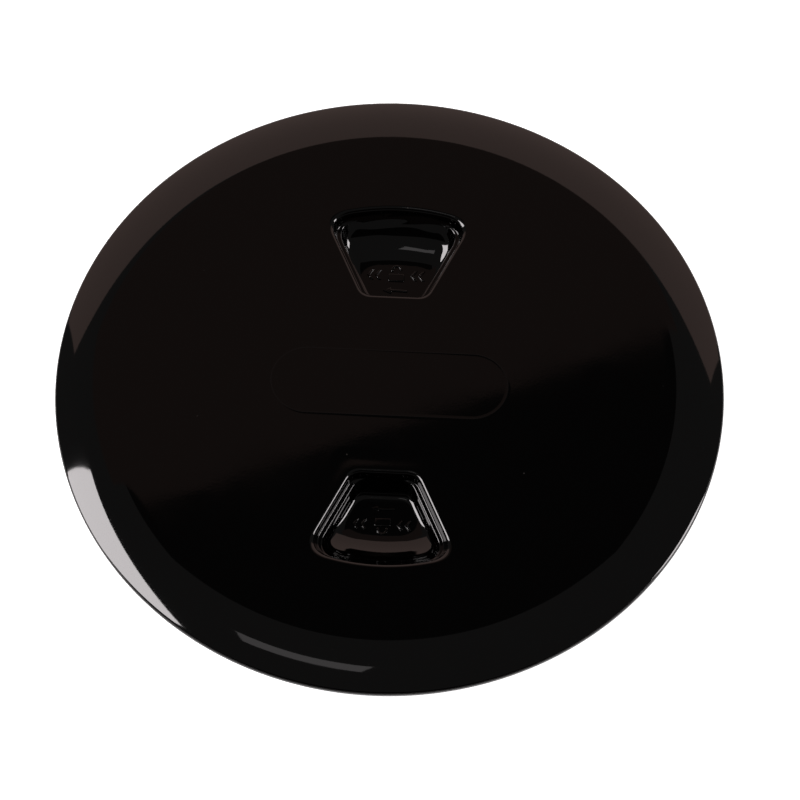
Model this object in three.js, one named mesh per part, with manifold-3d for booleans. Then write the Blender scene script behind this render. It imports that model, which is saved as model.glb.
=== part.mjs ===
// A round screw-out deck plate: an inspection hatch for a boat's deck, of the 8 inch size.
// The frame drops into a round hole in the deck and is screwed down through its flange. The lid has a
// four-start quick thread, covers the whole frame and its screws, and is turned by two finger wells.
// Millimetres, +Z up. The origin is the centre of the barrel's lower edge.

import * as THREE from "three";
import { mergeVertices } from "three/addons/utils/BufferGeometryUtils.js";
import Module from "manifold-3d";

const wasm = await Module();
wasm.setup();

// Driving dimensions. Heights marked "over the deck" are measured up from the deck's surface.
const SEGMENTS = 72;
const DECK = 24;
const CLEAR_RADIUS = 101.6;
const BARREL_OUTER = 113;
const BARREL_INNER = 109;
const LEDGE_THICKNESS = 2.5;
const GASKET_THICKNESS = 1;
const FLANGE_RADIUS = 125.5;
const FLANGE_TOP = DECK + 4;
const FLANGE_BEVEL_RADIUS = 122.5;
const LID_RADIUS = 128.5;
const LID_TOP = DECK + 8.2;
const LID_WALL = 3.2;
const LID_FLAT_RADIUS = 106;
const LID_EDGE_TOP = DECK + 3;
const LID_EDGE_BOTTOM = DECK + 1.4;
const LID_SEAT = FLANGE_TOP + 0.4;
const SKIRT_OUTER = 106.4;
const SKIRT_INNER = 103.4;
const SKIRT_BOTTOM = DECK - 14;

// The quick thread: each ridge is a trapezium on a helix, and the lid's ridges lie under the frame's.
const THREAD = { starts: 4, lead: 24, sweep: THREE.MathUtils.degToRad(120), base: 3, crest: 1.6 };
const FRAME_RIDGE = { root: BARREL_INNER + 0.8, crest: 107, bottom: DECK - 9.3 };
const LID_RIDGE = { root: SKIRT_OUTER - 0.8, crest: 108.5, bottom: FRAME_RIDGE.bottom - 2.7 };

const SEAL = { radius: 106.9, section: 1.8, grooveFloor: 104.7, grooveBottom: DECK - 0.2 };
const SEAL_HEIGHT = LID_SEAT - 0.3 - SEAL.section;

const SCREWS = { count: 8, circle: 118, length: 16, shank: 1.95, head: 4.1, headDepth: 2, hole: 2.4 };
const SCREW_TOP = FLANGE_TOP - 0.1;
const COUNTERSINK = { radius: 4.6, depth: 2.3 };
const CROSS_RECESS = { length: 4, width: 0.9, depth: 1.2 };

// A finger well: a drafted pocket with straight sides, a straight inner end and a scooped outer end.
const WELL = {
  inner: 38.3,
  outer: 77.1,
  halfWidth: 12.4,
  sideAngle: THREE.MathUtils.degToRad(25),
  depth: 13,
  sideDraft: 2.4,
  innerDraft: 3,
  scoop: 15.4,
  innerCorner: 4,
  outerCorner: 9,
  wall: 2.4,
};

const RIBS = { count: 12, inner: 88, thickness: 2, bottom: DECK - 1 };

const blackPlastic = { color: 0x0b0909, roughness: 0.12, metalness: 0 };
const sealRubber = { color: 0x141414, roughness: 0.7, metalness: 0 };
const gasketFoam = { color: 0x1d1d1d, roughness: 0.9, metalness: 0 };
const stainless = { color: 0xb8b8ba, roughness: 0.3, metalness: 1 };

// Solids

function solidOf(geometry) {
  const flat = geometry.index ? geometry.toNonIndexed() : geometry;
  const bare = new THREE.BufferGeometry().setAttribute("position", flat.getAttribute("position"));
  const merged = mergeVertices(bare, 1e-4);
  const vertProperties = merged.attributes.position.array;
  const triVerts = new Uint32Array(merged.index.array);
  const made = new wasm.Manifold(new wasm.Mesh({ numProp: 3, vertProperties, triVerts }));
  if (made.volume() > 0) return made;
  return new wasm.Manifold(new wasm.Mesh({ numProp: 3, vertProperties, triVerts: triVerts.reverse() }));
}

function meshOf(name, made, finish) {
  const { vertProperties, triVerts } = made.getMesh();
  const geometry = new THREE.BufferGeometry()
    .setAttribute("position", new THREE.BufferAttribute(vertProperties, 3))
    .setIndex(new THREE.BufferAttribute(triVerts, 1))
    .toNonIndexed();
  geometry.computeVertexNormals();
  const mesh = new THREE.Mesh(geometry, new THREE.MeshStandardMaterial(finish));
  mesh.name = name;
  return mesh;
}

// A solid of revolution about Z from [radius, height] points. A ring's profile closes on itself.
function turned(profile, segments = SEGMENTS) {
  const points = profile.map(([radius, height]) => new THREE.Vector2(radius, height));
  return solidOf(new THREE.LatheGeometry(points, segments).rotateX(Math.PI / 2));
}

function ring(profile, segments) {
  return turned([...profile, profile[0]], segments);
}

function block(width, depth, height, x, y, z) {
  return solidOf(new THREE.BoxGeometry(width, depth, height).translate(x, y, z));
}

function around(count, startAngle, make) {
  return Array.from({ length: count }, (_, i) => make(startAngle + (i * 2 * Math.PI) / count, i));
}

// Threads

// One ridge: its section is extruded straight, then wrapped round the axis and raised along the helix.
function threadRidge({ root, crest, bottom }, startAngle) {
  const section = new THREE.Shape([
    new THREE.Vector2(root, -THREAD.base / 2),
    new THREE.Vector2(crest, -THREAD.crest / 2),
    new THREE.Vector2(crest, THREAD.crest / 2),
    new THREE.Vector2(root, THREAD.base / 2),
  ]);
  const steps = Math.round((THREAD.sweep / (2 * Math.PI)) * SEGMENTS);
  const geometry = new THREE.ExtrudeGeometry(section, { depth: 1, steps, bevelEnabled: false });
  const position = geometry.getAttribute("position");
  for (let i = 0; i < position.count; i++) {
    const turn = position.getZ(i) * THREAD.sweep;
    const radius = position.getX(i);
    const height = bottom + position.getY(i) + (THREAD.lead * turn) / (2 * Math.PI);
    position.setXYZ(i, radius * Math.cos(startAngle + turn), radius * Math.sin(startAngle + turn), height);
  }
  return solidOf(geometry);
}

function withThread(made, ridge) {
  return around(THREAD.starts, 0, (angle) => threadRidge(ridge, angle)).reduce((a, b) => a.add(b), made);
}

// Frame

function framePiece() {
  const underside = DECK + GASKET_THICKNESS;
  const body = ring([
    [CLEAR_RADIUS, 0],
    [BARREL_OUTER, 0],
    [BARREL_OUTER, underside],
    [FLANGE_RADIUS - 0.5, underside],
    [FLANGE_RADIUS, underside + 0.5],
    [FLANGE_RADIUS, FLANGE_TOP - 1.7],
    [FLANGE_BEVEL_RADIUS, FLANGE_TOP],
    [BARREL_INNER + 1, FLANGE_TOP],
    [BARREL_INNER, FLANGE_TOP - 1],
    [BARREL_INNER, LEDGE_THICKNESS],
    [CLEAR_RADIUS, LEDGE_THICKNESS],
  ]);
  return screwHoles().reduce((made, hole) => made.subtract(hole), withThread(body, FRAME_RIDGE));
}

function placedOnScrewCircle(made, angle) {
  return made.translate([SCREWS.circle * Math.cos(angle), SCREWS.circle * Math.sin(angle), 0]);
}

function onEachScrew(make) {
  return around(SCREWS.count, Math.PI / SCREWS.count, make);
}

function screwHoles() {
  const hole = turned(
    [
      [0, DECK - 1],
      [SCREWS.hole, DECK - 1],
      [SCREWS.hole, FLANGE_TOP - COUNTERSINK.depth],
      [COUNTERSINK.radius, FLANGE_TOP],
      [COUNTERSINK.radius, FLANGE_TOP + 1],
      [0, FLANGE_TOP + 1],
    ],
    16,
  );
  return onEachScrew((angle) => placedOnScrewCircle(hole, angle));
}

function gasketPiece() {
  const body = ring([
    [BARREL_OUTER + 0.4, DECK],
    [FLANGE_RADIUS - 1, DECK],
    [FLANGE_RADIUS - 1, DECK + GASKET_THICKNESS],
    [BARREL_OUTER + 0.4, DECK + GASKET_THICKNESS],
  ]);
  return screwHoles().reduce((made, hole) => made.subtract(hole), body);
}

// Countersunk screws with a cross recess

function screwPiece(angle) {
  const point = SCREW_TOP - SCREWS.length;
  const body = turned(
    [
      [0, point],
      [SCREWS.shank, point + 4],
      [SCREWS.shank, SCREW_TOP - SCREWS.headDepth],
      [SCREWS.head, SCREW_TOP - 0.3],
      [SCREWS.head, SCREW_TOP],
      [0, SCREW_TOP],
    ],
    12,
  );
  const arm = [CROSS_RECESS.length, CROSS_RECESS.width, 2 * CROSS_RECESS.depth];
  const cross = block(...arm, 0, 0, SCREW_TOP).add(block(arm[1], arm[0], arm[2], 0, 0, SCREW_TOP));
  return placedOnScrewCircle(body.subtract(cross), angle);
}

// Seal

function sealPiece() {
  const sides = 8;
  const section = Array.from({ length: sides }, (_, i) => {
    const turn = (i * 2 * Math.PI) / sides;
    return [SEAL.radius + SEAL.section * Math.cos(turn), SEAL_HEIGHT + SEAL.section * Math.sin(turn)];
  });
  return ring(section);
}

// Lid

// The rounded shoulder, as height over radius: level at the flat top, steepest at the edge.
function shoulderHeight(radius) {
  const share = (radius - LID_FLAT_RADIUS) / (LID_RADIUS - LID_FLAT_RADIUS);
  return LID_TOP - (LID_TOP - LID_EDGE_TOP) * share ** 2.2;
}

function lidShell() {
  const shoulderSteps = 5;
  const shoulder = Array.from({ length: shoulderSteps + 1 }, (_, i) => {
    const radius = LID_FLAT_RADIUS + ((LID_RADIUS - 0.4 - LID_FLAT_RADIUS) * i) / shoulderSteps;
    return [radius, shoulderHeight(radius)];
  });
  return turned([
    [0, LID_TOP],
    ...shoulder,
    [LID_RADIUS, LID_EDGE_TOP - 0.4],
    [LID_RADIUS, LID_EDGE_BOTTOM],
    [FLANGE_RADIUS + 1, LID_EDGE_BOTTOM],
    [FLANGE_RADIUS + 1, FLANGE_TOP - 1.4],
    [FLANGE_BEVEL_RADIUS + 0.5, LID_SEAT],
    [SEAL.grooveFloor, LID_SEAT],
    [SEAL.grooveFloor, SEAL.grooveBottom],
    [SKIRT_OUTER, SEAL.grooveBottom],
    [SKIRT_OUTER, SKIRT_BOTTOM],
    [SKIRT_INNER, SKIRT_BOTTOM],
    [SKIRT_INNER, LID_TOP - LID_WALL],
    [0, LID_TOP - LID_WALL],
  ]);
}

// The well's outline in plan on the +Y side, grown outwards by a wall's thickness.
function wellOutline(grow) {
  const slope = Math.tan(WELL.sideAngle);
  const innerY = WELL.inner - grow;
  const innerX = WELL.halfWidth + grow / Math.cos(WELL.sideAngle) - grow * slope;
  const arcRadius = WELL.outer + grow;
  const side = (y) => innerX + (y - innerY) * slope;
  // Where the side line x = side(y) meets the outer arc x*x + y*y = arcRadius * arcRadius.
  const start = side(0);
  const squares = 1 + slope * slope;
  const cornerY =
    (-start * slope + Math.sqrt((start * slope) ** 2 - squares * (start * start - arcRadius * arcRadius))) / squares;
  const cornerX = side(cornerY);
  const innerEnd = innerY + WELL.innerCorner * Math.cos(WELL.sideAngle);
  const outerEnd = cornerY - WELL.outerCorner * Math.cos(WELL.sideAngle);
  const arcStart = Math.atan2(cornerY, cornerX) + WELL.outerCorner / arcRadius;
  const arcPoint = (angle) => [arcRadius * Math.cos(angle), arcRadius * Math.sin(angle)];
  const outline = new THREE.Shape();
  outline.moveTo(innerX - WELL.innerCorner, innerY);
  outline.quadraticCurveTo(innerX, innerY, side(innerEnd), innerEnd);
  outline.lineTo(side(outerEnd), outerEnd);
  outline.quadraticCurveTo(cornerX, cornerY, ...arcPoint(arcStart));
  outline.absarc(0, 0, arcRadius, arcStart, Math.PI - arcStart, false);
  outline.quadraticCurveTo(-cornerX, cornerY, -side(outerEnd), outerEnd);
  outline.lineTo(-side(innerEnd), innerEnd);
  outline.quadraticCurveTo(-innerX, innerY, WELL.innerCorner - innerX, innerY);
  return outline;
}

// The well's outline carried down to its floor: sides and inner end lean in, the outer end is a scoop.
function wellSolid(grow, top, floor) {
  const geometry = new THREE.ExtrudeGeometry(wellOutline(grow), {
    depth: 1,
    steps: 6,
    curveSegments: 4,
    bevelEnabled: false,
  });
  const position = geometry.getAttribute("position");
  const inner = WELL.inner - grow;
  const outer = WELL.outer + grow;
  for (let i = 0; i < position.count; i++) {
    const height = THREE.MathUtils.lerp(top, floor, position.getZ(i));
    const share = THREE.MathUtils.clamp((LID_TOP - height) / (LID_TOP - floor), 0, 1);
    const scoop = WELL.scoop * (1 - Math.sqrt(1 - share * share));
    const along = (position.getY(i) - inner) / (outer - inner);
    const y = THREE.MathUtils.lerp(inner + WELL.innerDraft * share, outer - scoop, along);
    const narrowed = 1 - (WELL.sideDraft * share) / (WELL.halfWidth + grow + along * (outer - inner) * 0.4);
    position.setXYZ(i, position.getX(i) * narrowed, y, height);
  }
  return solidOf(geometry);
}

function stiffeners() {
  const height = LID_TOP - LID_WALL - RIBS.bottom + 0.5;
  const middle = RIBS.bottom + height / 2;
  const hoop = ring([
    [RIBS.inner, RIBS.bottom],
    [RIBS.inner + RIBS.thickness, RIBS.bottom],
    [RIBS.inner + RIBS.thickness, RIBS.bottom + height],
    [RIBS.inner, RIBS.bottom + height],
  ]);
  const length = SKIRT_INNER + 1 - (RIBS.inner + RIBS.thickness / 2);
  const spoke = block(length, RIBS.thickness, height, SKIRT_INNER + 1 - length / 2, 0, middle);
  const spokes = around(RIBS.count, 0, (angle) => spoke.rotate([0, 0, THREE.MathUtils.radToDeg(angle)]));
  return spokes.reduce((a, b) => a.add(b), hoop);
}

function lidPiece() {
  const floor = LID_TOP - WELL.depth;
  const casing = wellSolid(WELL.wall, LID_TOP - 1, floor - WELL.wall);
  const pocket = wellSolid(0, LID_TOP + 1, floor);
  const halfTurn = [0, 0, 180];
  return withThread(lidShell(), LID_RIDGE)
    .add(stiffeners())
    .add(casing)
    .add(casing.rotate(halfTurn))
    .subtract(pocket)
    .subtract(pocket.rotate(halfTurn));
}

// Assembly

const hatch = new THREE.Group();
hatch.add(
  meshOf("frame_ring", framePiece(), blackPlastic),
  meshOf("deck_gasket", gasketPiece(), gasketFoam),
  meshOf("lid", lidPiece(), blackPlastic),
  meshOf("lid_o_ring", sealPiece(), sealRubber),
  ...onEachScrew((angle, i) => meshOf(`flange_screw_${i + 1}`, screwPiece(angle), stainless)),
);

export default hatch;
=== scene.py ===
"""Looks for a round black screw-out deck plate: its fine shapes, its materials, and the studio.

Sizes are in millimetres and heights are measured from the barrel's lower edge, until a mesh is made.
"""

import math

import bmesh
import bpy
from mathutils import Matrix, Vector
from mathutils.geometry import tessellate_polygon


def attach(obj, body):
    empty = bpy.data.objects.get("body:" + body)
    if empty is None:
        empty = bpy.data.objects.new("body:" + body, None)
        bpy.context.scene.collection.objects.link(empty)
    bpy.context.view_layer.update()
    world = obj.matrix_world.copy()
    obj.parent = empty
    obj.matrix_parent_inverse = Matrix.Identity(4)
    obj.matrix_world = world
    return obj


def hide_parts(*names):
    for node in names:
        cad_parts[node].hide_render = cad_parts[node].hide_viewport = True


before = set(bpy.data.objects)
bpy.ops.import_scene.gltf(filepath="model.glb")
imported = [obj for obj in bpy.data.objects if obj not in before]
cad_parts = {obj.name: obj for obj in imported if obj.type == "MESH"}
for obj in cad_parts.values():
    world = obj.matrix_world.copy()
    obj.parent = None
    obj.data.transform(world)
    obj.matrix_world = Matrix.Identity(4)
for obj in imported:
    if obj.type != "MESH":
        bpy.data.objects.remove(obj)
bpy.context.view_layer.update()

MM = 0.001
TURN = 2 * math.pi
AROUND = 384
SQUARE = ((-1, -1), (1, -1), (1, 1), (-1, 1))

# The plate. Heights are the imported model's.
DECK = 24.0
CLEAR_RADIUS = 101.6
BARREL_OUTER = 113.0
BARREL_INNER = 109.0
LEDGE_THICKNESS = 2.5
GASKET_THICKNESS = 1.0
FLANGE_RADIUS = 125.5
FLANGE_TOP = DECK + 4
FLANGE_BEVEL_RADIUS = 122.5
LID_RADIUS = 128.5
LID_TOP = DECK + 8.2
LID_UNDER = LID_TOP - 3.2
LID_FLAT_RADIUS = 106.0
LID_EDGE_TOP = DECK + 3
LID_EDGE_BOTTOM = DECK + 1.4
LID_SEAT = FLANGE_TOP + 0.4
SKIRT_OUTER = 106.4
SKIRT_INNER = 103.4
SKIRT_BOTTOM = DECK - 14
SHOULDER_POWER = 2.2

# Ribs and mould marks on the lid's underside, and the insert's line on its top.
RIB_BOTTOM = DECK - 1
RIB_TOP = LID_UNDER + 0.5
HOOP_INNER = 88.0
HOOP_OUTER = 90.0
SPOKE_COUNT = 12
SPOKE_HALF_WIDTH = 1.0
GATE_RADIUS = 3.5
PIN_COUNT = 10
PIN_CIRCLE_RADIUS = 82.0
PIN_RADIUS = 3.0
INSERT_HALF_LENGTH = 45.5
INSERT_RADIUS = 14.0

THREAD_STARTS = 4
THREAD_LEAD = 24.0
THREAD_SWEEP = math.radians(120)
THREAD_BASE = 3.0
THREAD_CREST = 1.6
FRAME_RIDGE = {"root": BARREL_INNER + 0.8, "crest": 107.0, "bottom": DECK - 9.3}
LID_RIDGE = {"root": SKIRT_OUTER - 0.8, "crest": 108.5, "bottom": DECK - 12.0}

SEAL_RADIUS = 106.9
SEAL_SECTION = 1.8
SEAL_HEIGHT = LID_SEAT - 0.3 - SEAL_SECTION
GROOVE_FLOOR = 104.7
GROOVE_BOTTOM = DECK - 0.2

SCREW_COUNT = 8
SCREW_CIRCLE_RADIUS = 118.0
SCREW_TOP = FLANGE_TOP - 0.1
SCREW_LENGTH = 16.0
SCREW_ROOT = 1.35
SCREW_CREST = 1.95
SCREW_HEAD = 4.1
SCREW_HEAD_DEPTH = 2.0
SCREW_PITCH = 1.6
SCREW_HOLE = 2.4
COUNTERSINK_RADIUS = 4.6
COUNTERSINK_DEPTH = 2.3

WELL_INNER = 38.3
WELL_OUTER = 77.1
WELL_HALF_WIDTH = 12.4
WELL_SIDE_ANGLE = math.radians(25)
WELL_DEPTH = 13.0
WELL_FLOOR = LID_TOP - WELL_DEPTH
WELL_INNER_DRAFT = 3.0
WELL_INNER_CORNER = 4.0
WELL_OUTER_CORNER = 9.0
WELL_WALL = 2.4
LIP_RADIUS = 1.15
FLOOR_FILLET = 2.3
SINK_REACH = 9.0
SINK_DEPTH = 0.018
RIPPLE = 0.03


# Small tools

def mix(low, high, share):
    return low + (high - low) * share


def clamp(value):
    return max(0.0, min(1.0, value))


def smooth(share):
    share = clamp(share)
    return share * share * (3 - 2 * share)


def quarter(steps):
    """Angles from 0 to 90 degrees."""
    return [math.pi / 2 * i / steps for i in range(steps + 1)]


def curve_through(start, control, end, steps):
    """A quadratic curve's points, without its last one."""
    points = []
    for i in range(steps):
        t = i / steps
        axes = zip(start, control, end)
        points.append(tuple((1 - t) ** 2 * a + 2 * t * (1 - t) * b + t * t * c for a, b, c in axes))
    return points


def rounded(profile, radius, steps=4, closed=False):
    """A profile with each corner rounded, by less where its sides are short.

    The two ends of an open profile stay as they are.
    """
    count = len(profile)
    made = []
    for i, corner in enumerate(profile):
        if not closed and i in (0, count - 1):
            made.append(tuple(corner))
            continue
        here = Vector(corner)
        before = Vector(profile[i - 1]) - here
        after = Vector(profile[(i + 1) % count]) - here
        reach = min(radius, before.length * 0.45, after.length * 0.45)
        start = here + before.normalized() * reach
        end = here + after.normalized() * reach
        made += curve_through(start, here, end, steps)
        made.append(tuple(end))
    return made


def inset(points, distance):
    """A closed outline moved inwards by a distance, for an outline that runs anticlockwise."""
    made = []
    count = len(points)
    for i, point in enumerate(points):
        here = Vector(point)
        into = (here - Vector(points[i - 1])).normalized()
        out = (Vector(points[(i + 1) % count]) - here).normalized()
        normal = Vector((-(into + out).y, (into + out).x)).normalized()
        widen = max(0.5, normal.dot(Vector((-into.y, into.x))))
        made.append(tuple(here + normal * distance / widen))
    return made


def turned(x, y, angle):
    """A point in plan, turned about the origin."""
    cosine, sine = math.cos(angle), math.sin(angle)
    return x * cosine - y * sine, x * sine + y * cosine


def spaced_round(count, radius):
    """Places round a circle, with the first half a step from +X."""
    angles = [TURN * (i + 0.5) / count for i in range(count)]
    return [(radius * math.cos(a), radius * math.sin(a)) for a in angles]


def in_place(points):
    return points


def half_turned(points):
    return [(-point[0], -point[1], *point[2:]) for point in points]


class Skin:
    """A closed mesh built from rings of points. Each face remembers which finish it has."""

    def __init__(self):
        self.points = []
        self.faces = []
        self.finishes = []
        self.finish = 0

    def ring(self, points):
        start = len(self.points)
        self.points += [tuple(point) for point in points]
        return list(range(start, len(self.points)))

    def face(self, corners):
        self.faces.append(tuple(corners))
        self.finishes.append(self.finish)

    def bridge(self, rings, closed=True):
        """Walls from each ring to the next."""
        for low, high in zip(rings, rings[1:]):
            count = len(low)
            for i in range(count if closed else count - 1):
                j = (i + 1) % count
                self.face((low[i], low[j], high[j], high[i]))

    def plate(self, outer, holes=()):
        """A flat face inside one ring and outside the others."""
        rings = [outer, *holes]
        corners = [index for one in rings for index in one]
        flat = [[Vector((*self.points[index][:2], 0)) for index in one] for one in rings]
        for triangle in tessellate_polygon(flat):
            self.face([corners[i] for i in triangle])

    def turn(self, profile, count=AROUND, axis=(0, 0)):
        """Rings about an upright axis, from (radius, height) points."""
        x, y = axis
        ways = [(math.cos(TURN * i / count), math.sin(TURN * i / count)) for i in range(count)]
        return [self.ring([(x + r * c, y + r * s, z) for c, s in ways]) for r, z in profile]

    def build(self, name, materials, sharp=38):
        mesh = bpy.data.meshes.new(name)
        mesh.from_pydata([[c * MM for c in point] for point in self.points], [], self.faces)
        for material in materials:
            mesh.materials.append(material)
        mesh.polygons.foreach_set("material_index", self.finishes)
        weld(mesh)
        made = bpy.data.objects.new(name, mesh)
        bpy.context.scene.collection.objects.link(made)
        soften(mesh, sharp)
        return made


def weld(mesh):
    """Joins points that coincide and turns every face outwards."""
    shape = bmesh.new()
    shape.from_mesh(mesh)
    bmesh.ops.remove_doubles(shape, verts=shape.verts, dist=1e-7)
    bmesh.ops.recalc_face_normals(shape, faces=shape.faces)
    shape.to_mesh(mesh)
    shape.free()


def soften(mesh, sharp):
    mesh.polygons.foreach_set("use_smooth", [True] * len(mesh.polygons))
    mesh.set_sharp_from_angle(angle=math.radians(sharp))


def combine(base, tools, operation, sharp=38):
    """Adds the tools to the base, or cuts them out of it, and keeps the result as the base's own mesh."""
    for tool in tools:
        step = base.modifiers.new(tool.name, "BOOLEAN")
        step.operation = operation
        step.solver = "MANIFOLD"
        step.object = tool
    bpy.context.view_layer.update()
    shaped = bpy.data.meshes.new_from_object(base.evaluated_get(bpy.context.evaluated_depsgraph_get()))
    base.modifiers.clear()
    base.data = shaped
    shaped.name = base.name
    soften(shaped, sharp)
    for tool in tools:
        bpy.data.objects.remove(tool)


# Materials

class Finish:
    """A Principled material with a node for each named step, so that each look reads top to bottom."""

    def __init__(self, name, color, roughness, **settings):
        self.material = bpy.data.materials.new(name)
        self.material.use_nodes = True
        self.tree = self.material.node_tree
        self.shader = self.tree.nodes["Principled BSDF"]
        self.shader.inputs["Base Color"].default_value = (*color, 1)
        self.shader.inputs["Roughness"].default_value = roughness
        for socket, value in settings.items():
            self.shader.inputs[socket.replace("_", " ")].default_value = value
        self.place = self.tree.nodes.new("ShaderNodeTexCoord").outputs["Object"]
        self.relief = None

    def link(self, output, target):
        self.tree.links.new(output, target)

    def noise(self, scale, detail=2.0, stretch=(1, 1, 1)):
        """Cloudy noise between 0 and 1, with this many clouds to the metre."""
        mapping = self.tree.nodes.new("ShaderNodeMapping")
        mapping.inputs["Scale"].default_value = stretch
        self.link(self.place, mapping.inputs["Vector"])
        node = self.tree.nodes.new("ShaderNodeTexNoise")
        node.inputs["Scale"].default_value = scale
        node.inputs["Detail"].default_value = detail
        self.link(mapping.outputs["Vector"], node.inputs["Vector"])
        return node.outputs["Fac"]

    def cells(self, scale):
        """Distance from the middle of each random cell."""
        node = self.tree.nodes.new("ShaderNodeTexVoronoi")
        node.inputs["Scale"].default_value = scale
        self.link(self.place, node.inputs["Vector"])
        return node.outputs["Distance"]

    def bands(self, value, *stops):
        """A value turned into another, by (position, result) stops."""
        node = self.tree.nodes.new("ShaderNodeValToRGB")
        ramp = node.color_ramp.elements
        while len(ramp) < len(stops):
            ramp.new(0.5)
        for element, (position, result) in zip(ramp, stops):
            element.position = position
            element.color = (result, result, result, 1)
        self.link(value, node.inputs["Fac"])
        return node.outputs["Color"]

    def tint(self, amount, color):
        """The base colour shifts to this one by an amount between 0 and 1."""
        node = self.tree.nodes.new("ShaderNodeMix")
        node.data_type = "RGBA"
        node.inputs["A"].default_value = self.shader.inputs["Base Color"].default_value
        node.inputs["B"].default_value = (*color, 1)
        self.link(amount, node.inputs["Factor"])
        self.link(node.outputs["Result"], self.shader.inputs["Base Color"])

    def rough(self, amount):
        self.link(amount, self.shader.inputs["Roughness"])

    def bump(self, height, strength, distance):
        """Relief of this depth in metres, on top of any relief already there."""
        node = self.tree.nodes.new("ShaderNodeBump")
        node.inputs["Strength"].default_value = strength
        node.inputs["Distance"].default_value = distance
        self.link(height, node.inputs["Height"])
        if self.relief:
            self.link(self.relief, node.inputs["Normal"])
        self.relief = node.outputs["Normal"]
        self.link(self.relief, self.shader.inputs["Normal"])


def polished_plastic():
    look = Finish("polished_plastic", (0.0003, 0.00027, 0.00027), 0.06, IOR=1.5)
    look.rough(look.bands(look.noise(35, 5), (0.3, 0.025), (0.75, 0.055)))
    look.bump(look.noise(28, 1), 0.5, 0.00004)
    look.bump(look.noise(75, 2), 0.5, 0.00001)
    look.bump(look.noise(900, 2), 0.25, 0.000004)
    dust = look.bands(look.cells(60), (0.012, 1.0), (0.022, 0.0))
    look.tint(dust, (0.02, 0.018, 0.017))
    return look.material


def painted_highlight_plastic():
    # Lighter than the polished plastic: a painted highlight that stands in for the light the insert's
    # hairline catches along its edge.
    return Finish("painted_highlight_plastic", (0.0022, 0.002, 0.002), 0.1, IOR=1.5).material


def satin_plastic():
    look = Finish("satin_plastic", (0.007, 0.0066, 0.0066), 0.35, IOR=1.5)
    look.rough(look.bands(look.noise(60, 5), (0.3, 0.26), (0.75, 0.42)))
    look.bump(look.noise(2600, 3), 0.5, 0.00002)
    look.tint(look.bands(look.noise(18, 4), (0.45, 0.0), (0.8, 1.0)), (0.013, 0.012, 0.012))
    return look.material


def seal_rubber():
    look = Finish("seal_rubber", (0.012, 0.012, 0.012), 0.5, IOR=1.5)
    look.rough(look.bands(look.noise(140, 4), (0.3, 0.42), (0.7, 0.62)))
    look.bump(look.noise(3500, 2), 0.4, 0.00002)
    return look.material


def gasket_foam():
    look = Finish("gasket_foam", (0.022, 0.022, 0.023), 0.9)
    look.bump(look.cells(1400), 0.9, 0.0002)
    look.tint(look.bands(look.noise(900, 3), (0.4, 0.0), (0.7, 1.0)), (0.04, 0.04, 0.042))
    return look.material


def stainless_steel():
    look = Finish("stainless_steel", (0.56, 0.56, 0.57), 0.28, Metallic=1.0)
    look.rough(look.bands(look.noise(300, 4), (0.3, 0.2), (0.7, 0.38)))
    look.bump(look.noise(1500, 3), 0.4, 0.00001)
    return look.material


POLISHED = polished_plastic()
PAINTED_HIGHLIGHT = painted_highlight_plastic()
SATIN = satin_plastic()
RUBBER = seal_rubber()
FOAM = gasket_foam()
STEEL = stainless_steel()


# Finger wells

def well_outline(side, inner, outer):
    """The well's outline in plan on the +Y side, anticlockwise, with its walls moved outwards."""
    slope = math.tan(WELL_SIDE_ANGLE)
    at_axis = WELL_HALF_WIDTH - WELL_INNER * slope + side / math.cos(WELL_SIDE_ANGLE)
    inner_y = WELL_INNER - inner
    inner_x = at_axis + inner_y * slope
    arc = WELL_OUTER + outer
    square = 1 + slope * slope
    root = math.sqrt((at_axis * slope) ** 2 - square * (at_axis**2 - arc**2))
    corner_y = (root - at_axis * slope) / square
    corner_x = at_axis + corner_y * slope
    inner_end = inner_y + WELL_INNER_CORNER * math.cos(WELL_SIDE_ANGLE)
    outer_end = corner_y - WELL_OUTER_CORNER * math.cos(WELL_SIDE_ANGLE)
    arc_start = math.atan2(corner_y, corner_x) + WELL_OUTER_CORNER / arc

    def wall(y):
        return at_axis + y * slope, y

    start = (inner_x - WELL_INNER_CORNER, inner_y)
    right = curve_through((0, inner_y), (start[0] / 2, inner_y), start, 10)
    right += curve_through(start, (inner_x, inner_y), wall(inner_end), 14)
    right += curve_through(wall(inner_end), wall((inner_end + outer_end) / 2), wall(outer_end), 30)
    arc_point = (arc * math.cos(arc_start), arc * math.sin(arc_start))
    right += curve_through(wall(outer_end), (corner_x, corner_y), arc_point, 22)
    steps = 26
    for i in range(steps + 1):
        angle = mix(arc_start, math.pi / 2, i / steps)
        right.append((arc * math.cos(angle), arc * math.sin(angle)))
    left = [(-x, y) for x, y in reversed(right[1:-1])]
    return right + left


# How far each wall has come in (mm) by a depth (mm): the sides by a ledge, the outer end by a scoop.
SIDE_PROFILE = rounded([(0, 0), (0.7, 4.3), (2.6, 4.4), (2.9, WELL_DEPTH)], 0.5, 8)
SCOOP_PROFILE = rounded([(0, 0), (1.4, 4), (5.4, 9.4), (14, WELL_DEPTH), (28, WELL_DEPTH)], 5, 20)


def come_in(profile, depth):
    for (near, above), (far, below) in zip(profile, profile[1:]):
        if below > above and depth <= below:
            return mix(near, far, (depth - above) / (below - above))
    return max(near for near, above in profile if above < WELL_DEPTH)


def scoop_ripple(depth, x):
    """The scoop is not quite even: its moulding waves by a few hundredths of a millimetre."""
    waves = math.sin(1.9 * depth + 0.3 * x) + 0.7 * math.sin(1.2 * depth - 0.21 * x + 1)
    middle = smooth(depth / 4) * smooth((12 - depth) / 3) * smooth((18 - abs(x)) / 5)
    return RIPPLE * waves * middle


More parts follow.
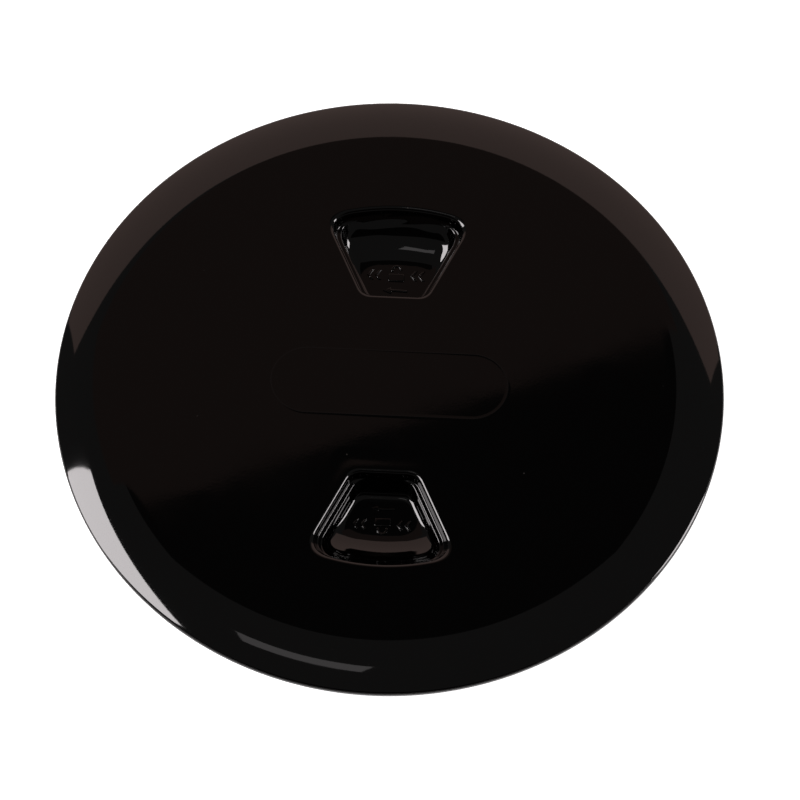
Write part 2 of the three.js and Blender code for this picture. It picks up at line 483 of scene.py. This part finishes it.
def well_ring(grow, height, floor=WELL_FLOOR):
    """The outline carried down to a height."""
    share = clamp((LID_TOP - height) / (LID_TOP - floor))
    depth = WELL_DEPTH * share
    side = grow - come_in(SIDE_PROFILE, depth)
    inner = grow - WELL_INNER_DRAFT * share
    outer = max(grow, 0) - come_in(SCOOP_PROFILE, depth)
    made = []
    for x, y in well_outline(side, inner, outer):
        along = (y - WELL_INNER) / (WELL_OUTER + outer - WELL_INNER)
        made.append((x, y + scoop_ripple(depth, x) * smooth((along - 0.5) / 0.4), height))
    return made


def sunk_rings():
    """The moulding sinks a little round each well, which shows as a bend in its reflections."""
    made = []
    for share in (1.0, 0.96, 0.84, 0.72, 0.6, 0.48, 0.36, 0.24, 0.12, 0.04, 0.0):
        dip = SINK_DEPTH * math.sin(math.pi * share) ** 2
        grow = LIP_RADIUS + 0.1 + SINK_REACH * share
        made.append([(x, y, LID_TOP - dip) for x, y in well_outline(grow, grow, grow)])
    return made


def lip_rings():
    made = []
    for angle in quarter(8):
        height = LID_TOP - LIP_RADIUS * (1 - math.cos(angle))
        made.append(well_ring(LIP_RADIUS * (1 - math.sin(angle)), height))
    return made


def wall_rings():
    """Rings down the wall, close together where it bends."""
    depths = [mix(LIP_RADIUS, WELL_DEPTH - FLOOR_FILLET, i / 28) for i in range(1, 28)]
    depths += [depth for _, depth in SIDE_PROFILE if LIP_RADIUS + 0.1 < depth < 8]
    depths.sort()
    kept = [depth for depth, after in zip(depths, depths[1:] + [WELL_DEPTH]) if after - depth > 0.01]
    return [well_ring(0, LID_TOP - depth) for depth in kept]


def fillet_rings():
    made = []
    for angle in quarter(12):
        height = WELL_FLOOR + FLOOR_FILLET * (1 - math.sin(angle))
        made.append(well_ring(-FLOOR_FILLET * (1 - math.cos(angle)), height))
    made.append(well_ring(-FLOOR_FILLET - 0.25, WELL_FLOOR))
    return made


# Raised signs on the well floors, all generic: an arrow for the way to turn, and an open or shut padlock.

def arc_band(radius, start, end, half_width, steps=14):
    """A band on a circle round the lid's axis, as an anticlockwise outline. Angles are from +Y."""
    angles = [mix(start, end, i / steps) for i in range(steps + 1)]
    outer = [(-(radius + half_width) * math.sin(a), (radius + half_width) * math.cos(a)) for a in angles]
    inner = [(-(radius - half_width) * math.sin(a), (radius - half_width) * math.cos(a)) for a in angles]
    return outer, inner


def arrow_sign(direction):
    """A curved arrow, which points to -X for a direction of 1."""
    radius = 47.6
    span = math.radians(5.6)
    outer, inner = arc_band(radius, -span, span * 0.35, 0.55)
    head = math.radians(2.4) + span * 0.35
    tip = (-radius * math.sin(head + math.radians(1.6)), radius * math.cos(head + math.radians(1.6)))
    high = (outer[-1][0], outer[-1][1] + 1.05)
    low = (inner[-1][0], inner[-1][1] - 1.05)
    outline = [*outer, high, tip, low, *reversed(inner)]
    if direction > 0:
        return outline
    return [(-x, y) for x, y in reversed(outline)]


def padlock_body():
    middle = 53.6
    corners = [(-3.2, middle - 2.1), (3.2, middle - 2.1), (3.2, middle + 1.5), (-3.2, middle + 1.5)]
    return rounded(corners, 0.8, 3, closed=True)


def padlock_shackle(raised):
    """The shackle, as a bent bar. An open padlock's is raised, with its right leg cut short."""
    foot = 55.5 + (0.35 if raised else 0)
    bend = foot + 1.0
    short = bend - 0.25 if raised else foot
    outer, thick = 2.2, 1.0
    over = [math.pi * i / 12 for i in range(13)]
    outside = [(outer * math.cos(a), bend + outer * math.sin(a)) for a in over]
    inside = [((outer - thick) * math.cos(a), bend + (outer - thick) * math.sin(a)) for a in reversed(over)]
    return [(outer, short), *outside, (-outer, foot), (thick - outer, foot), *inside, (outer - thick, short)]


def chevron(x, direction):
    """A small mark beside the padlock, pointing the way to turn."""
    middle, reach, half, thick = 54.4, 1.5, 2.2, 1.25
    tip = x - direction * reach
    points = [(tip, middle), (x, middle - half), (x + direction * thick, middle - half)]
    points += [(tip + direction * thick, middle), (x + direction * thick, middle + half), (x, middle + half)]
    return points if direction > 0 else list(reversed(points))


def well_signs(opens):
    signs = [arrow_sign(1 if opens else -1), padlock_body(), padlock_shackle(opens)]
    for x in (-10.0, -7.0, 7.0, 10.0):
        signs.append(chevron(x, 1 if opens else -1))
    return signs


def raise_sign(skin, outline, place):
    """A low raised sign with a soft edge. Its foot is a hole in the well's floor."""
    rings = []
    for distance, rise in ((0, 0), (0.06, 0.28), (0.15, 0.4), (0.28, 0.45), (0.42, 0.46)):
        rings.append(skin.ring(place([(x, y, WELL_FLOOR + rise) for x, y in inset(outline, distance)])))
    skin.bridge(rings)
    skin.plate(rings[-1])
    return rings[0]


def sink_well(skin, place, opens):
    """One finger well, from its outermost ring on the lid's top down to the floor. Returns that ring."""
    rings = sunk_rings()[:-1] + lip_rings() + wall_rings() + fillet_rings()
    laid = [skin.ring(place(points)) for points in rings]
    skin.bridge(laid)
    skin.plate(laid[-1], [raise_sign(skin, outline, place) for outline in well_signs(opens)])
    return laid[0]


def hang_casing(skin, place):
    """The well's outside, from its outermost ring on the lid's underside down to its own floor."""
    root, edge = 1.0, 1.6
    bottom = WELL_FLOOR - WELL_WALL
    rings = [well_ring(WELL_WALL + root + 0.3, LID_UNDER, bottom)]
    for angle in quarter(5):
        height = LID_UNDER - root * (1 - math.cos(angle))
        rings.append(well_ring(WELL_WALL + root * (1 - math.sin(angle)), height, bottom))
    for i in range(1, 12):
        rings.append(well_ring(WELL_WALL, mix(LID_UNDER - root, bottom + edge, i / 12), bottom))
    for angle in quarter(5):
        height = bottom + edge * (1 - math.sin(angle))
        rings.append(well_ring(WELL_WALL - edge * (1 - math.cos(angle)), height, bottom))
    laid = [skin.ring(place(points)) for points in rings]
    skin.bridge(laid)
    skin.plate(laid[-1])
    return laid[0]


# Threads

def ridge(name, part, start):
    """One thread ridge: a rounded trapezium carried up its helix, tapering away at both ends."""
    root, crest, bottom = part["root"], part["crest"], part["bottom"]
    outline = [
        (root, -THREAD_BASE / 2),
        (crest, -THREAD_CREST / 2),
        (crest, THREAD_CREST / 2),
        (root, THREAD_BASE / 2),
    ]
    section = rounded(outline, 0.45, 3)
    skin = Skin()
    steps = 80
    rings = []
    for i in range(steps + 1):
        share = i / steps
        ends = smooth(min(share, 1 - share) / 0.05)
        turn = THREAD_SWEEP * share
        middle = bottom + THREAD_LEAD * turn / TURN
        points = []
        for radius, height in section:
            reach = mix(root, radius, 0.12 + 0.88 * ends)
            angle = start + turn
            points.append((reach * math.cos(angle), reach * math.sin(angle), middle + height))
        rings.append(skin.ring(points))
    skin.bridge(rings)
    skin.face(rings[0])
    skin.face(rings[-1])
    return skin.build(name, [SATIN])


def ridges(name, part):
    return [ridge(f"{name}_{i}", part, TURN * i / THREAD_STARTS) for i in range(THREAD_STARTS)]


def disc(name, middle, radius, low, high):
    skin = Skin()
    rings = skin.turn([(radius, low), (radius, high)], 48, middle)
    skin.bridge(rings)
    skin.face(rings[0])
    skin.face(rings[1])
    return skin.build(name, [SATIN])


# Lid

def shoulder_height(radius):
    share = clamp((radius - LID_FLAT_RADIUS) / (LID_RADIUS - LID_FLAT_RADIUS))
    return LID_TOP - (LID_TOP - LID_EDGE_TOP) * share**SHOULDER_POWER


def insert_line(skin):
    """The hairline that a mould insert leaves in the middle of the lid, round a stadium's outline."""
    middle = INSERT_HALF_LENGTH - INSERT_RADIUS

    def stadium(grow):
        reach = INSERT_RADIUS + grow
        right = [math.radians(mix(-90, 90, i / 40)) for i in range(41)]
        points = [(middle + reach * math.cos(a), reach * math.sin(a)) for a in right]
        return points + [(-x, -y) for x, y in points]

    offsets = ((1.2, 0), (0.2, 0), (0.1, 0.003), (-0.1, 0.003), (-0.2, 0), (-1.2, 0))
    rings = [skin.ring([(x, y, LID_TOP + rise) for x, y in stadium(grow)]) for grow, rise in offsets]
    skin.bridge(rings[:2])
    # The hairline's own faces take the lighter plastic, a painted highlight along the line.
    skin.finish = 2
    skin.bridge(rings[1:5])
    skin.finish = 0
    skin.bridge(rings[4:])
    skin.plate(rings[-1])
    return rings[0]


def lid_shell():
    skin = Skin()
    shoulder = [(LID_FLAT_RADIUS - 1.5, LID_TOP)]
    steps = 44
    for i in range(steps + 1):
        radius = mix(LID_FLAT_RADIUS, LID_RADIUS - 0.45, i / steps)
        shoulder.append((radius, shoulder_height(radius)))
    edge = [
        shoulder[-1],
        (LID_RADIUS, LID_EDGE_TOP - 0.25),
        (LID_RADIUS, LID_EDGE_BOTTOM),
        (FLANGE_RADIUS + 1, LID_EDGE_BOTTOM),
        (FLANGE_RADIUS + 1, FLANGE_TOP - 1.4),
        (FLANGE_BEVEL_RADIUS + 0.5, LID_SEAT),
        (GROOVE_FLOOR, LID_SEAT),
        (GROOVE_FLOOR, GROOVE_BOTTOM),
        (SKIRT_OUTER, GROOVE_BOTTOM),
        (SKIRT_OUTER, SKIRT_BOTTOM),
        (SKIRT_INNER, SKIRT_BOTTOM),
        (SKIRT_INNER, LID_UNDER),
        (SKIRT_INNER - 2.5, LID_UNDER),
    ]
    top = skin.turn(shoulder)
    skin.bridge(top)
    wells = [sink_well(skin, in_place, opens=True), sink_well(skin, half_turned, opens=False)]
    skin.plate(top[0], [*wells, insert_line(skin)])
    skin.finish = 1
    under = [top[-1], *skin.turn(rounded(edge, 0.4)[1:])]
    skin.bridge(under)
    skin.plate(under[-1], [hang_casing(skin, in_place), hang_casing(skin, half_turned)])
    return skin.build("lid_moulding", [POLISHED, SATIN, PAINTED_HIGHLIGHT])


def stiffener_hoop():
    skin = Skin()
    inner = [(HOOP_INNER, RIB_TOP), (HOOP_INNER, RIB_BOTTOM)]
    outer = [(HOOP_OUTER, RIB_BOTTOM), (HOOP_OUTER, RIB_TOP)]
    rings = skin.turn(rounded([*inner, *outer], 0.6))
    skin.bridge([*rings, rings[0]])
    return skin.build("hoop", [SATIN])


def stiffener_spoke(index):
    angle = TURN * index / SPOKE_COUNT
    left = [(-SPOKE_HALF_WIDTH, RIB_TOP), (-SPOKE_HALF_WIDTH, RIB_BOTTOM)]
    right = [(SPOKE_HALF_WIDTH, RIB_BOTTOM), (SPOKE_HALF_WIDTH, RIB_TOP)]
    section = rounded([*left, *right], 0.5)
    skin = Skin()
    rings = []
    for along in ((HOOP_INNER + HOOP_OUTER) / 2, SKIRT_INNER + 1):
        rings.append(skin.ring([(*turned(along, across, angle), height) for across, height in section]))
    skin.bridge(rings)
    skin.face(rings[0])
    skin.face(rings[1])
    return skin.build(f"spoke_{index}", [SATIN])


def make_lid():
    lid = lid_shell()
    stiffeners = [stiffener_hoop(), *[stiffener_spoke(i) for i in range(SPOKE_COUNT)]]
    gate = disc("gate", (0, 0), GATE_RADIUS, LID_UNDER - 0.8, LID_UNDER + 0.5)
    combine(lid, [*ridges("lid_ridge", LID_RIDGE), *stiffeners, gate], "UNION")
    pins = []
    for i, middle in enumerate(spaced_round(PIN_COUNT, PIN_CIRCLE_RADIUS)):
        pins.append(disc(f"pin_{i}", middle, PIN_RADIUS, LID_UNDER - 3, LID_UNDER + 0.2))
    combine(lid, pins, "DIFFERENCE")
    return lid


# Frame, gasket, seal and screws

SCREW_PLACES = spaced_round(SCREW_COUNT, SCREW_CIRCLE_RADIUS)


def screw_cutter(index, place):
    skin = Skin()
    profile = [
        (SCREW_HOLE, DECK - 1),
        (SCREW_HOLE, FLANGE_TOP - COUNTERSINK_DEPTH),
        (COUNTERSINK_RADIUS, FLANGE_TOP),
        (COUNTERSINK_RADIUS, FLANGE_TOP + 1),
    ]
    rings = skin.turn(profile, 64, place)
    skin.bridge(rings)
    skin.face(rings[0])
    skin.face(rings[-1])
    return skin.build(f"cutter_{index}", [SATIN])


def screw_cutters():
    return [screw_cutter(i, place) for i, place in enumerate(SCREW_PLACES)]


def ring_shape(name, profile, radius, material):
    skin = Skin()
    rings = skin.turn(rounded(profile, radius, closed=True))
    skin.bridge([*rings, rings[0]])
    return skin.build(name, [material])


def make_frame():
    underside = DECK + GASKET_THICKNESS
    profile = [
        (CLEAR_RADIUS, 0),
        (BARREL_OUTER, 0),
        (BARREL_OUTER, underside),
        (FLANGE_RADIUS, underside),
        (FLANGE_RADIUS, FLANGE_TOP - 1.7),
        (FLANGE_BEVEL_RADIUS, FLANGE_TOP),
        (BARREL_INNER, FLANGE_TOP),
        (BARREL_INNER, LEDGE_THICKNESS),
        (CLEAR_RADIUS, LEDGE_THICKNESS),
    ]
    made = ring_shape("frame_moulding", profile, 0.5, SATIN)
    combine(made, ridges("frame_ridge", FRAME_RIDGE), "UNION")
    combine(made, screw_cutters(), "DIFFERENCE")
    return made


def make_gasket():
    low, high = DECK, DECK + GASKET_THICKNESS
    inner, outer = BARREL_OUTER + 0.4, FLANGE_RADIUS - 1
    made = ring_shape("gasket_ring", [(inner, low), (outer, low), (outer, high), (inner, high)], 0.2, FOAM)
    combine(made, screw_cutters(), "DIFFERENCE")
    return made


def make_seal():
    """The O-ring, with the fine flash line that its mould leaves."""
    skin = Skin()
    steps = 32
    profile = []
    for i in range(steps):
        angle = TURN * i / steps
        flash = 0.05 if i in (0, steps // 2) else 0
        reach = SEAL_SECTION - 0.05 + flash
        profile.append((SEAL_RADIUS + reach * math.cos(angle), SEAL_HEIGHT + reach * math.sin(angle)))
    rings = skin.turn(profile)
    skin.bridge([*rings, rings[0]])
    return skin.build("seal_ring", [RUBBER])


def make_screw(index, place):
    """A countersunk screw: a turned head and point, and a thread that climbs round the shank."""
    skin = Skin()
    count = 36
    point = SCREW_TOP - SCREW_LENGTH
    neck = SCREW_TOP - SCREW_HEAD_DEPTH - 0.6
    steps = 110
    rings = []
    for i in range(steps + 1):
        height = mix(point + 0.25, neck, i / steps)
        body = SCREW_ROOT * smooth(0.1 + (height - point) / 4)
        depth = (SCREW_CREST - SCREW_ROOT) * smooth((height - point) / 4) * smooth((neck - height) / 1.2)
        ring = []
        for k in range(count):
            angle = TURN * k / count
            wave = (height / SCREW_PITCH - k / count) % 1.0
            crest = max(0.0, 1 - abs(wave - 0.5) * 3.2)
            reach = body + depth * crest
            ring.append((reach * math.cos(angle), reach * math.sin(angle), height))
        rings.append(skin.ring(ring))
    head = [
        (SCREW_ROOT + 0.1, neck + 0.1),
        (SCREW_ROOT + 0.35, SCREW_TOP - SCREW_HEAD_DEPTH),
        (SCREW_HEAD - 0.1, SCREW_TOP - 0.35),
        (SCREW_HEAD, SCREW_TOP - 0.22),
        (SCREW_HEAD - 0.03, SCREW_TOP - 0.08),
        (SCREW_HEAD - 0.14, SCREW_TOP),
    ]
    rings += skin.turn(head, count)
    skin.bridge(rings)
    skin.face(rings[0])
    skin.face(rings[-1])
    made = skin.build(f"screw_{index + 1}", [STEEL])
    combine(made, [recess_arm(0), recess_arm(math.pi / 2)], "DIFFERENCE")
    x, y = place
    made.location = (x * MM, y * MM, 0)
    made.rotation_euler = (0, 0, 1.1 * index)
    return made


def recess_arm(angle):
    """Half of the cross recess: a bar that narrows towards its foot."""
    skin = Skin()
    rings = []
    for half_length, half_width, height in ((1.3, 0.32, SCREW_TOP - 1.5), (2.2, 0.5, SCREW_TOP + 0.2)):
        flat = [turned(half_length * end, half_width * side, angle) for end, side in SQUARE]
        rings.append(skin.ring([(*point, height) for point in flat]))
    skin.bridge(rings)
    skin.face(rings[0])
    skin.face(rings[1])
    return skin.build("recess", [STEEL])


def install(piece, body, slot, *nodes):
    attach(piece, body)
    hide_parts(*nodes)


install(make_lid(), "lid", "lid_plastic", "lid")
install(make_seal(), "seal", "seal_rubber", "lid_o_ring")
install(make_frame(), "frame", "frame_plastic", "frame_ring")
install(make_gasket(), "frame", "gasket_foam", "deck_gasket")
for number, where in enumerate(SCREW_PLACES):
    install(make_screw(number, where), "frame", "screw_steel", f"flange_screw_{number + 1}")


# Camera. Its distances are in metres, and its lens and sensor in millimetres.

CAMERA_TURN = math.radians(2.8)
CAMERA_RISE = math.radians(62.31)
CAMERA_DISTANCE = 1.867
CAMERA_RIGHT = 0.00405
CAMERA_DOWN = 0.00376
CAMERA_LENS = 218.6
CAMERA_SENSOR = 36
RIM_MIDDLE = Vector((0, 0, (LID_EDGE_BOTTOM + LID_EDGE_TOP) / 2 * MM))

camera = bpy.data.objects.new("camera", bpy.data.cameras.new("camera"))
bpy.context.scene.collection.objects.link(camera)
back = Vector((
    math.sin(CAMERA_TURN) * math.cos(CAMERA_RISE),
    -math.cos(CAMERA_TURN) * math.cos(CAMERA_RISE),
    math.sin(CAMERA_RISE),
))
camera.rotation_mode = "QUATERNION"
camera.rotation_quaternion = (-back).to_track_quat("-Z", "Y")
right = camera.rotation_quaternion @ Vector((1, 0, 0))
up = camera.rotation_quaternion @ Vector((0, 1, 0))
camera.location = RIM_MIDDLE + back * CAMERA_DISTANCE + right * CAMERA_RIGHT - up * CAMERA_DOWN
camera.data.sensor_width = CAMERA_SENSOR
camera.data.lens = CAMERA_LENS
camera.data.clip_start = 0.05
bpy.context.scene.camera = camera


# Studio: a white floor, a dim room, and plain rectangular panels. Metres, with the camera on the -Y side.

WARM = (1.0, 0.72, 0.65)
NEUTRAL = (1.0, 0.95, 0.96)
ROOM_LIGHT = 0.1
SOFTBOX_LIGHT = 13
CEILING = 3
BELOW_CEILING = 2.9
NEARLY_BLACK = 0.01
FLOOR_LEVEL = -0.0002
FLOOR_REACH = 30


def staged(name, corners, material):
    """A flat rectangle that belongs to the studio and not to the plate."""
    mesh = bpy.data.meshes.new(name)
    mesh.from_pydata(corners, [], [(0, 1, 2, 3)])
    mesh.materials.append(material)
    made = bpy.data.objects.new(name, mesh)
    bpy.context.scene.collection.objects.link(made)
    return made


def light_panel(name, corners, color, strength):
    """An evenly lit rectangle that the camera doesn't see. A nearly black one serves as a flag."""
    material = bpy.data.materials.new(name)
    material.use_nodes = True
    tree = material.node_tree
    tree.nodes.remove(tree.nodes["Principled BSDF"])
    light = tree.nodes.new("ShaderNodeEmission")
    light.inputs["Color"].default_value = (*color, 1)
    light.inputs["Strength"].default_value = strength
    tree.links.new(light.outputs["Emission"], tree.nodes["Material Output"].inputs["Surface"])
    panel = staged(name, corners, material)
    panel.visible_camera = False
    panel.visible_shadow = False


def ceiling_panel(name, middle, size, degrees, height, color, strength):
    """A level panel over the plate, turned about the vertical."""
    corners = []
    for side, end in SQUARE:
        x, y = turned(side * size[0] / 2, end * size[1] / 2, math.radians(degrees))
        corners.append((middle[0] + x, middle[1] + y, height))
    light_panel(name, corners, color, strength)


def white_paper():
    material = bpy.data.materials.new("white_paper")
    material.use_nodes = True
    shader = material.node_tree.nodes["Principled BSDF"]
    shader.inputs["Base Color"].default_value = (0.9, 0.9, 0.9, 1)
    shader.inputs["Roughness"].default_value = 0.9
    shader.inputs["Emission Color"].default_value = (1, 1, 1, 1)
    shader.inputs["Emission Strength"].default_value = 1.0
    return material


def make_room():
    world = bpy.data.worlds.new("dim_room")
    world.use_nodes = True
    background = world.node_tree.nodes["Background"]
    background.inputs["Color"].default_value = (1, 0.97, 0.96, 1)
    background.inputs["Strength"].default_value = ROOM_LIGHT
    bpy.context.scene.world = world
    bpy.context.scene.view_settings.view_transform = "Standard"


make_room()
staged("floor", [(x * FLOOR_REACH, y * FLOOR_REACH, FLOOR_LEVEL) for x, y in SQUARE], white_paper())
light_panel("back_wall", [(-2.5, 2, 0), (2.5, 2, 0), (2.5, 2, 2.5), (-2.5, 2, 2.5)], WARM, 0.6)
light_panel("left_softbox", [(-7, -1, 3), (-2, -1, 3), (-2, 1, 3), (-7, 1, 3)], NEUTRAL, SOFTBOX_LIGHT)
right_corners = [(3, -0.5, 1), (3, 0.5, 1), (3, 0.5, 2.5), (3, -0.5, 2.5)]
light_panel("right_softbox", right_corners, NEUTRAL, SOFTBOX_LIGHT)
ceiling_panel("warm_panel", (-0.2, 1.9), (2.2, 0.9), 23, BELOW_CEILING, WARM, 0.12)
ceiling_panel("strip_light", (-0.5, -0.4), (0.8, 0.3), -15, BELOW_CEILING, NEUTRAL, 1.0)
ceiling_panel("middle_flag", (0, 1.4), (1.2, 0.8), 0, CEILING, NEUTRAL, NEARLY_BLACK * 2)
ceiling_panel("front_flag", (0, -4.5), (8, 5), 0, CEILING, NEUTRAL, NEARLY_BLACK)
